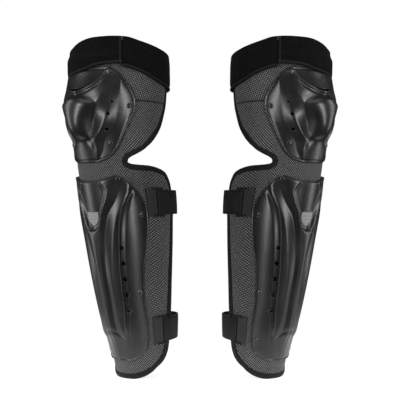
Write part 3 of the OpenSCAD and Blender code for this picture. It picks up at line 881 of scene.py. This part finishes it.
def thighBands():
    def hemRoll(table):
        def relief(a, z):
            rise = z - smooth(table, a)
            seam = (a - band["seam"]) * perDegree(z)
            return press(rise, band["hemPress"]) + press(seam, band["seamPress"])
        return relief

    def edge(key):
        return lambda a: smooth(band[key], a)

    def underStrap(a, z):
        return thighLift(a, z) - straps["seat"] - straps["hook"]

    thick = band["thick"]
    webbing("frontBand", band["farEnd"], band["seam"], edge("frontHem"), edge("top"), overCup,
            thick, 2.0, hemRoll(band["frontHem"]), (1, 0), 1.0)
    webbing("sideBand", band["seam"] + 0.15, straps["hinge"] - 2.6, edge("sideHem"), edge("top"),
            overCup, thick, 2.0, hemRoll(band["sideHem"]), (0, 1), 1.0)
    low, end = band["strapLow"], band["strapEnd"]
    high = low + band["strapTall"]
    webbing("thighStrap", straps["hinge"] + 0.9, end, low, high, thighLift, thick, 2.0, crown=0.3)
    webbing("thighHook", end - 36, end - 2, low + 3, high - 3, underStrap, straps["hook"], 2.0)
    webbing("thighLoop", end - 44, end, low + 2, high - 2, 1.2 + thick + straps["seat"],
            straps["hook"], 2.0)


# rivets, stitches and the vent insert

rivet = {"head": 4.4, "taper": 0.62, "rise": 1.7, "shank": 2.0, "tail": 3.2, "tailTall": 0.9,
         "under": 4.7}
stitch = {"long": 2.5, "wide": 0.8, "pitch": 4.3, "inset": 3.3}


def onShell(shell, a, z):
    start, facing = onLeg(a, z, 45)
    hit, place, normal, _ = shell.ray_cast(start, -facing)
    return (place, normal, facing) if hit else (start - facing * 0.045, facing, facing)


def rivets(name, shell, places):
    rise, tail = rivet["rise"] * millimetre, rivet["tailTall"] * millimetre
    made = []
    for a, z in places:
        for side in (-1, 1):
            place, _, facing = onShell(shell, side * a, z)
            head = plug(place + facing * rise * 0.42, facing, rivet["head"],
                        rivet["taper"] * rivet["head"], rise, 28)
            applyModifier(head, "BEVEL", width=0.0007, segments=3, limit_method="ANGLE")
            back, _ = onLeg(side * a, z, -rivet["under"])
            shank = plug((place + back) / 2, facing, rivet["shank"], rivet["shank"],
                         (place - back).length, 16)
            made += [head, shank, plug(back - facing * tail / 2, -facing, rivet["shank"],
                                       rivet["tail"], tail, 20)]
    joined(name, made)
    bpy.ops.object.shade_smooth_by_angle(angle=math.radians(40))


def stitchRow(name, piece, shell):
    # dashes that follow a shell's outline, a lip's width inside it
    inset = stitch["inset"]
    heights = np.linspace(shell["low"] + inset, shell["high"] - inset, 400)
    k = perDegree(heights)
    lean = np.sqrt(1 + outlineSlope(shell, heights) ** 2)
    angle = shellHalf(shell, heights) - inset * lean / k
    run = np.concatenate([[0], np.cumsum(np.hypot(np.diff(angle) * k[1:], np.diff(heights)))])
    count = int(run[-1] / stitch["pitch"])
    spots = np.linspace(stitch["pitch"], run[-1] - stitch["pitch"], count)
    selectOnly()
    bpy.ops.mesh.primitive_cylinder_add(
        vertices=8, radius=stitch["wide"] / 2 * millimetre, depth=stitch["long"] * millimetre)
    first = bpy.context.object
    applyModifier(first, "BEVEL", width=0.0003, segments=2, limit_method="ANGLE")
    made = []
    for side in (-1, 1):
        for spot in spots:
            a = np.interp([spot, spot + 1], run, angle) * side
            z = np.interp([spot, spot + 1], run, heights)
            here, normal, _ = onShell(piece, a[0], z[0])
            there, _, _ = onShell(piece, a[1], z[1])
            dash = first.copy()
            dash.data = first.data.copy()
            bpy.context.scene.collection.objects.link(dash)
            dash.location = here + normal * 0.0001
            dash.rotation_euler = (there - here).to_track_quat("Z", "Y").to_euler()
            made.append(dash)
    drop(first)
    joined(name, made)
    bpy.ops.object.transform_apply()
    bpy.ops.object.shade_smooth()


vent = {"wide": 11.8, "top": 245, "low": 226, "rise": 4.4, "thick": 1.4, "slats": 4, "slatDeep": 0.5}


def ventInsert():
    # shield-shaped insert in the foot of the scoop, with louvres pressed into it
    rows = np.linspace(0, 1, 34)
    z = vent["low"] + (vent["top"] - vent["low"]) * rows
    half = vent["wide"] * np.sqrt(np.clip(1 - (1 - np.clip(rows / 0.72, 0, 1)) ** 2, 0, 1)) + 0.3
    share = np.linspace(-1, 1, 25)
    angle = half[:, None] * share
    z = np.broadcast_to(z[:, None], angle.shape)
    louvre = vent["slatDeep"] * np.abs(np.sin(np.pi * vent["slats"] * rows))[:, None]
    outer = vent["rise"] - 0.6 * np.abs(share) ** 6 - louvre * ease((0.8 - np.abs(share)) / 0.15)
    wrap("vent", angle, z, outer, outer - vent["thick"])


# finishes


# a socket whose sums are Math nodes, so that shader maths reads as arithmetic
class Signal:
    def __init__(self, finish, socket):
        self.finish = finish
        self.socket = socket

    def math(self, operation, first, second=None, third=None):
        values = {i: v for i, v in enumerate((first, second, third)) if v is not None}
        return self.finish.node("Math", {"operation": operation}, values)

    def __add__(self, other):
        return self.math("ADD", self, other)

    __radd__ = __add__

    def __mul__(self, other):
        return self.math("MULTIPLY", self, other)

    __rmul__ = __mul__

    def __sub__(self, other):
        return self.math("SUBTRACT", self, other)

    def __rsub__(self, other):
        return self.math("SUBTRACT", other, self)

    def __truediv__(self, other):
        return self.math("DIVIDE", self, other)

    def __pow__(self, other):
        return self.math("POWER", self, other)

    def wrapped(self):
        return self.math("FRACT", self)

    def size(self):
        return self.math("ABSOLUTE", self)

    def waves(self, pitch):
        return self.math("SINE", self * (2 * math.pi / pitch))

    def between(self, low, high):
        settings = {"interpolation_type": "SMOOTHSTEP"}
        limits = {"Value": self, "From Min": low, "From Max": high}
        return self.finish.node("MapRange", settings, limits)


class Finish:
    def __init__(self, name, **fixed):
        self.material = bpy.data.materials.new(name)
        self.material.use_nodes = True
        self.tree = self.material.node_tree
        self.shader = self.tree.nodes["Principled BSDF"]
        for socket, value in fixed.items():
            self.shader.inputs[socket.replace("_", " ")].default_value = value
        self.coordinates = self.tree.nodes.new("ShaderNodeTexCoord")

    def node(self, kind, settings=None, values=None, output=0):
        made = self.tree.nodes.new("ShaderNode" + kind)
        for key, value in (settings or {}).items():
            if key == "stops":
                for spot, (place, shade) in zip(made.color_ramp.elements, value):
                    spot.position, spot.color = place, shade
            else:
                setattr(made, key, value)
        for key, value in (values or {}).items():
            if isinstance(value, Signal):
                self.tree.links.new(value.socket, made.inputs[key])
            else:
                made.inputs[key].default_value = value
        return Signal(self, made.outputs[output])

    def place(self, kind="Object"):
        return Signal(self, self.coordinates.outputs[kind])

    def split(self, vector):
        made = self.tree.nodes.new("ShaderNodeSeparateXYZ")
        self.tree.links.new(vector.socket, made.inputs[0])
        return [Signal(self, out) for out in made.outputs]

    def noise(self, scale, detail=3, rough=0.55, place=None):
        return self.node("TexNoise", None, {
            "Vector": place or self.place(), "Scale": scale, "Detail": detail, "Roughness": rough})

    def mix(self, factor, low, high):
        values = {"Factor": factor, "A": low, "B": high}
        made = self.tree.nodes.new("ShaderNodeMix")
        made.data_type = "RGBA"
        for key, value in values.items():
            socket = next(s for s in made.inputs if s.name == key and s.enabled)
            if isinstance(value, Signal):
                self.tree.links.new(value.socket, socket)
            else:
                socket.default_value = value
        return Signal(self, next(s for s in made.outputs if s.enabled))

    def shade(self, factor, dark, light, warm=0.0):
        self.feed("Base Color", self.mix(factor, grey(dark), grey(light, warm)))

    def feed(self, socket, signal):
        self.tree.links.new(signal.socket, self.shader.inputs[socket])

    def bump(self, height, distance, strength=1.0):
        values = {"Height": height, "Distance": distance, "Strength": strength}
        self.feed("Normal", self.node("Bump", None, values))


def grey(value, warm=0.0):
    return (value * (1 + warm), value, value * (1 - warm), 1)


mouldedLook = {"dark": 0.006, "light": 0.011, "rough": 0.28, "grain": 2600}
meshLook = {"ground": 0.01, "thread": 0.19, "pitch": 3.1, "dot": 0.36}
tapeLook = {"dark": 0.003, "light": 0.009, "pitch": 0.9}
# frontHem is the place along the front band's map, in metres, of its folded front edge, where a
# painted highlight lies
fleeceLook = {"dark": 0.002, "light": 0.013, "fuzz": 700, "frontHem": 0.2122}
elasticLook = {"dark": 0.006, "light": 0.02, "weave": 0.8}
tabLook = {"dark": 0.008, "light": 0.014, "seam": 0.004, "grain": 1500}
rivetLook = {"dark": 0.012, "light": 0.035, "wear": 900}
washerLook = {"dark": 0.5, "light": 0.68, "scratch": 700}
insertLook = {"dark": 0.2, "light": 0.3, "grain": 1800}
threadLook = {"dark": 0.03, "light": 0.07, "twist": 2500}


def mouldedPlastic():
    look = mouldedLook
    finish = Finish("mouldedPlastic", Specular_IOR_Level=0.55, Coat_Roughness=0.22)
    cloud = finish.noise(28, 4, 0.6)
    grain = finish.noise(look["grain"], 2, 0.5)
    finish.shade(cloud.between(0.3, 0.7), look["dark"], look["light"])
    finish.feed("Roughness", look["rough"] + 0.07 * cloud + 0.05 * grain)
    finish.feed("Coat Weight", 0.2 * cloud.between(0.2, 0.8))
    finish.bump(grain + 0.6 * cloud, 0.00006, 0.5)
    return finish.material


def meshFabric():
    look = meshLook
    finish = Finish("meshFabric", Specular_IOR_Level=0.3, Sheen_Weight=0.15, Sheen_Roughness=0.5)
    u, v, _ = finish.split(finish.place("UV"))
    _, _, height = finish.split(finish.place())
    seam = 1 - (height - liner["crossSeam"] * millimetre).size().between(0.0008, 0.0019)
    pitch = look["pitch"] * millimetre
    first = ((u + v * 0.8) / pitch).wrapped() - 0.5
    second = ((u - v * 0.8) / pitch).wrapped() - 0.5
    reach = (first * first + second * second) ** 0.5
    dot = (1 - reach.between(0.5 * look["dot"], 1.25 * look["dot"])) * (1 - seam)
    patch = finish.noise(220, 2, 0.5)
    light = finish.mix(patch.between(0.35, 0.65), grey(0.75 * look["thread"]), grey(look["thread"]))
    finish.feed("Base Color", finish.mix(dot, grey(look["ground"]), light))
    finish.feed("Roughness", 0.85 - 0.25 * dot)
    finish.bump(dot + 0.2 * patch, 0.0005, 0.8)
    return finish.material


def edgeWeave():
    look = tapeLook
    finish = Finish("edgeWeave", Specular_IOR_Level=0.2, Sheen_Weight=0.03)
    u, v, _ = finish.split(finish.place("UV"))
    pitch = look["pitch"] * millimetre
    rib = u.waves(pitch) * 0.5 + 0.5
    thread = v.waves(0.7 * pitch) * 0.5 + 0.5
    weave = rib * thread
    finish.shade(weave, look["dark"], look["light"])
    finish.feed("Roughness", 0.6 + 0.25 * weave)
    finish.bump(weave, 0.0002, 0.8)
    return finish.material


def brushedFleece():
    look = fleeceLook
    finish = Finish("brushedFleece", Specular_IOR_Level=0.03, Sheen_Weight=0.02,
                    Sheen_Roughness=0.6, Roughness=0.95)
    fuzz = finish.noise(look["fuzz"], 5, 0.75)
    pile = finish.noise(60, 3, 0.6)
    run, rise, _ = finish.split(finish.place("UV"))
    # painted highlight: a lighter line along the rolled hem near each band's lower edge and down the
    # front band's folded edge at the seam, where light catches the folds
    hemHighlight = 1 - (rise - 0.0026).size().between(0.0006, 0.0022)
    hemHighlight = hemHighlight + 1 - (run - look["frontHem"]).size().between(0.0005, 0.0016)
    nap = fuzz.between(0.4, 0.75) * (0.5 + pile)
    shade = finish.mix(nap, grey(look["dark"]), grey(look["light"]))
    # the painted fold highlights take twice the fleece's light tone
    finish.feed("Base Color", finish.mix(hemHighlight * 0.5, shade, grey(2.0 * look["light"])))
    finish.bump(fuzz + 0.5 * pile, 0.0007, 0.9)
    return finish.material


def ribbedElastic():
    look = elasticLook
    finish = Finish("ribbedElastic", Specular_IOR_Level=0.4, Sheen_Weight=0.1)
    u, v, _ = finish.split(finish.place("UV"))
    pitch = look["weave"] * millimetre
    weave = u.waves(pitch) * v.waves(pitch) * 0.5 + 0.5
    finish.shade(weave, look["dark"], look["light"])
    finish.feed("Roughness", 0.55 + 0.2 * weave)
    finish.bump(weave, 0.00025, 0.7)
    return finish.material


def smoothTab():
    look = tabLook
    finish = Finish("smoothTab", Specular_IOR_Level=0.2)
    grain = finish.noise(look["grain"], 3, 0.6)
    cloud = finish.noise(40, 3, 0.5)
    _, rise, _ = finish.split(finish.place("UV"))
    off = (rise - straps["width"] / 2 * millimetre).size()
    edge = 1 - off.between(0.0145, 0.0155)
    sewn = off.between(0.0146, 0.0152) * (1 - off.between(0.0156, 0.0162))
    shade = finish.mix(cloud.between(0.3, 0.7), grey(look["dark"]), grey(look["light"]))
    finish.feed("Base Color", finish.mix(sewn, shade, grey(look["seam"])))
    finish.feed("Roughness", 0.55 + 0.2 * grain)
    finish.bump(grain + 2 * edge, 0.00012, 0.6)
    return finish.material


def rivetBlack():
    finish = Finish("rivetBlack", Specular_IOR_Level=0.6)
    look = rivetLook
    wear = finish.noise(look["wear"], 3, 0.6)
    finish.shade(wear.between(0.5, 0.8), look["dark"], look["light"])
    finish.feed("Roughness", 0.2 + 0.15 * wear)
    return finish.material


def zincWasher():
    finish = Finish("zincWasher", Metallic=1.0)
    look = washerLook
    scratch = finish.noise(look["scratch"], 4, 0.7)
    finish.shade(scratch, look["dark"], look["light"], 0.01)
    finish.feed("Roughness", 0.3 + 0.25 * scratch)
    return finish.material


def greyInsert():
    finish = Finish("greyInsert", Specular_IOR_Level=0.5)
    look = insertLook
    grain = finish.noise(look["grain"], 3, 0.6)
    finish.shade(grain, look["dark"], look["light"])
    finish.feed("Roughness", 0.4 + 0.15 * grain)
    finish.bump(grain, 0.00005, 0.4)
    return finish.material


def tapeFace(name, scale, depth, dark, light):
    finish = Finish(name, Specular_IOR_Level=0.25, Roughness=0.85)
    cells = finish.node("TexVoronoi", None, {"Vector": finish.place(), "Scale": scale})
    curl = finish.noise(scale * 0.8, 4, 0.8)
    finish.shade(cells.between(0.1, 0.6) * curl, dark, light)
    finish.bump(cells + curl, depth, 0.9)
    return finish.material


padLook = {"dark": 0.025, "light": 0.06, "knit": 0.001496}


def foamCover():
    look = padLook
    finish = Finish("foamCover", Specular_IOR_Level=0.25, Sheen_Weight=0.2)
    x, _, z = finish.split(finish.place())
    knit = x.waves(look["knit"]) * z.waves(look["knit"]) * 0.5 + 0.5
    cloud = finish.noise(90, 3, 0.6)
    finish.shade(knit * cloud, look["dark"], look["light"])
    finish.feed("Roughness", 0.8 + 0.1 * knit)
    finish.bump(knit, 0.0002, 0.6)
    return finish.material


def blackThread():
    finish = Finish("blackThread", Specular_IOR_Level=0.3)
    look = threadLook
    twist = finish.noise(look["twist"], 2, 0.5)
    finish.shade(twist, look["dark"], look["light"])
    finish.feed("Roughness", 0.6 + 0.2 * twist)
    return finish.material


print("finishes")
finishes = {
    "mesh_fabric": meshFabric(),
    "edge_binding": edgeWeave(),
    "pad_foam": foamCover(),
    "moulded_shell": mouldedPlastic(),
    "black_rivet": rivetBlack(),
    "backing_washer": zincWasher(),
    "grey_grille": greyInsert(),
    "ribbed_elastic": ribbedElastic(),
    "smooth_tab": smoothTab(),
    "loop_tape": tapeFace("loopTape", 1400, 0.0004, 0.004, 0.014),
    "hook_tape": tapeFace("hookTape", 1100, 0.0003, 0.004, 0.02),
    "fleece_band": brushedFleece(),
    "thread": blackThread(),
}

# building both guards

print("shells")
kneeCup()
shinShell()
print("fabric")
linerSheet()
edgeTape()
foamPad("kneePad")
foamPad("shinPad")
print("straps")
calfStrap("upper")
calfStrap("lower")
thighBands()
strapCreases()
print("rivets and stitches")
ventInsert()
rivets("cupRivets", pieces["kneeCup"], knee["rivets"])
rivets("shinRivets", pieces["shinShell"], shin["rivets"])
stitchRow("cupStitches", pieces["kneeCup"], knee)
stitchRow("shinStitches", pieces["shinShell"], shin)

# piece: body it rides on, material slot, CAD nodes that it stands for, finish if not the slot's
plan = {
    "kneeCup": ("thigh", "moulded_shell", ["knee_cup"]),
    "shinShell": ("shin", "moulded_shell", ["shin_shell"]),
    "liner": ("bend", "mesh_fabric", ["shin_liner", "thigh_liner", "knee_gusset"]),
    "binding": ("bend", "edge_binding", ["shin_binding", "thigh_binding"]),
    "kneePad": ("thigh", "pad_foam", ["knee_pad"]),
    "shinPad": ("shin", "pad_foam", ["shin_pad"]),
    "vent": ("shin", "grey_grille", ["shin_vent"]),
    "cupRivets": ("thigh", "black_rivet", ["cup_rivets"]),
    "shinRivets": ("shin", "black_rivet", ["shin_rivets"]),
    "cupStitches": ("thigh", "edge_binding", []),
    "shinStitches": ("shin", "edge_binding", []),
    "frontBand": ("thigh", "fleece_band", ["thigh_front_band"]),
    "sideBand": ("thigh", "fleece_band", ["thigh_side_band"]),
    "thighStrap": ("thigh_flap", "fleece_band", ["thigh_strap"]),
    "thighHook": ("thigh_flap", "hook_tape", ["thigh_hook"]),
    "thighLoop": ("thigh", "loop_tape", ["thigh_loop"]),
}
for which in ("upper", "lower"):
    plan.update({
        which + "Anchor": ("shin", "ribbed_elastic", [which + "_anchor"]),
        which + "FoldLow": ("shin", "smooth_tab", []),
        which + "FoldHigh": ("shin", "smooth_tab", []),
        which + "Lead": ("shin", "smooth_tab", [which + "_lead"]),
        which + "Strap": (which + "_flap", "smooth_tab", [which + "_strap"]),
        which + "Hook": (which + "_flap", "hook_tape", [which + "_hook"]),
        which + "Loop": ("shin", "loop_tape", [which + "_loop"]),
    })
plan.update({
    "upperCrease": ("bend", "smooth_tab", []),
    "lowerCrease": ("bend", "smooth_tab", []),
    "thighCrease": ("bend", "fleece_band", []),
})
bend = {"place": [0, -27, 312], "tilt": 22, "reach": 15}


def bendOf(name):
    # the two bodies that a piece bends between, and where the bend starts and ends
    if name in creases:
        fixed, moving, height, _ = creases[name]
        angles = np.array([straps["hinge"] - 2.6, straps["hinge"] + 0.9])
        return fixed, moving, legPoint(angles, height + 0 * angles, 1.6 + 0 * angles)
    # from below to above the notch, along the line that the liner folds across
    tilt = math.radians(bend["tilt"])
    middle = np.array(bend["place"], float)
    way = np.array([0, -math.sin(tilt), math.cos(tilt)]) * bend["reach"]
    return "shin", "thigh", np.stack([middle - way, middle + way])


print("riding on the frame")
for name, (body, slotName, nodes) in plan.items():
    left = pieces[name]
    right = mirrored(left, "right" + name[0].upper() + name[1:])
    left.name = "left" + name[0].upper() + name[1:]
    for side, piece in (("left", left), ("right", right)):
        look = finishes["thread"] if "Stitches" in name else finishes[slotName]
        piece.data.materials.clear()
        piece.data.materials.append(look)
        if body == "bend":
            fixed, moving, ends = bendOf(name)
            start, end = toPair(ends) * ([1, 1, 1] if side == "left" else [-1, 1, 1])
            side + "_" + fixed
            side + "_" + moving
            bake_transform(piece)
        else:
            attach(piece, side + "_" + body)
        if nodes:
            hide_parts(*[side + "_" + node for node in nodes])
        if name in ("liner", "kneePad", "shinPad"):
            0.4 if name == "liner" else 0.8

for side in ("left", "right"):
    for node in ("shin_washers", "cup_washers"):
        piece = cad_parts[side + "_" + node]
        piece.data.materials.clear()
        piece.data.materials.append(finishes["backing_washer"])

# floor, light and camera

studio = {
    "floor": 0.8,
    "floorReach": 0.65,
    "floorFade": 0.22,
    # the fading ellipse lies this far back, and is this much narrower from front to back
    "floorBack": 0.08,
    "floorSquash": 1.8,
    "floorGlow": 0.75,
    "room": 0.04,
    "backdrop": 1.0,
    "distance": 1.3,
    "height": 0.262,
    "lens": 80,
}
# place, the point it faces, width, height and power; a place beside the middle stands on both sides
lights = {
    "topLight": ((0, -0.6, 1.5), (0, 0, 0.3), 1.6, 0.7, 4.5),
    "rearLight": ((0, 1.3, 0.9), (0, 0, 0.25), 0.7, 0.7, 6),
    "sideLight": ((1.3, 0.1, 0.4), (0.1, 0, 0.25), 0.25, 1.4, 5.5),
    "frontLight": ((1.0, -1.1, 0.4), (0.1, 0, 0.25), 0.3, 1.3, 15),
}


def floorSheet():
    selectOnly()
    bpy.ops.mesh.primitive_circle_add(vertices=96, radius=studio["floorReach"], fill_type="NGON")
    floor = bpy.context.object
    floor.name = "floor"
    finish = Finish("paleFloor", Roughness=0.9, Specular_IOR_Level=0.1)
    finish.shade(finish.noise(2, 2), studio["floor"] - 0.01, studio["floor"])
    finish.shader.inputs["Emission Color"].default_value = grey(1)
    finish.shader.inputs["Emission Strength"].default_value = studio["floorGlow"]
    # the floor thins out into the backdrop
    x, y, _ = finish.split(finish.place())
    near = (y - studio["floorBack"]) * studio["floorSquash"]
    away = (x * x + near * near) ** 0.5
    finish.feed("Alpha", 1 - away.between(studio["floorFade"], studio["floorReach"] - 0.1))
    floor.data.materials.append(finish.material)


def softbox(name, place, target, width, tall, power):
    lamp = bpy.data.lights.new(name, "AREA")
    lamp.shape, lamp.size, lamp.size_y, lamp.energy = "RECTANGLE", width, tall, power
    holder = bpy.data.objects.new(name, lamp)
    bpy.context.scene.collection.objects.link(holder)
    holder.location = place
    holder.rotation_euler = (target - place).to_track_quat("-Z", "Y").to_euler()


def studioRoom():
    world = bpy.data.worlds.new("studio")
    bpy.context.scene.world = world
    world.use_nodes = True
    tree = world.node_tree
    back = tree.nodes["Background"]
    back.inputs["Color"].default_value = grey(1)
    # a white backdrop behind the object, in a room that lights it only a little
    path = tree.nodes.new("ShaderNodeLightPath")
    level = tree.nodes.new("ShaderNodeMapRange")
    level.inputs["To Min"].default_value = studio["room"]
    level.inputs["To Max"].default_value = studio["backdrop"]
    tree.links.new(path.outputs["Is Camera Ray"], level.inputs["Value"])
    tree.links.new(level.outputs["Result"], back.inputs["Strength"])


print("stage")
floorSheet()
studioRoom()
for name, (place, target, *rest) in lights.items():
    for side in ((-1, 1) if place[0] else (1,)):
        softbox(name, *(Vector(spot) * Vector((side, 1, 1)) for spot in (place, target)), *rest)
bpy.context.scene.view_settings.view_transform = "Standard"
view = bpy.data.cameras.new("camera")
view.lens = studio["lens"]
camera = bpy.data.objects.new("camera", view)
bpy.context.scene.collection.objects.link(camera)
camera.location = (0, -studio["distance"] + pair["shift"] * millimetre, studio["height"])
camera.rotation_euler = (math.radians(90), 0, 0)
bpy.context.scene.camera = camera
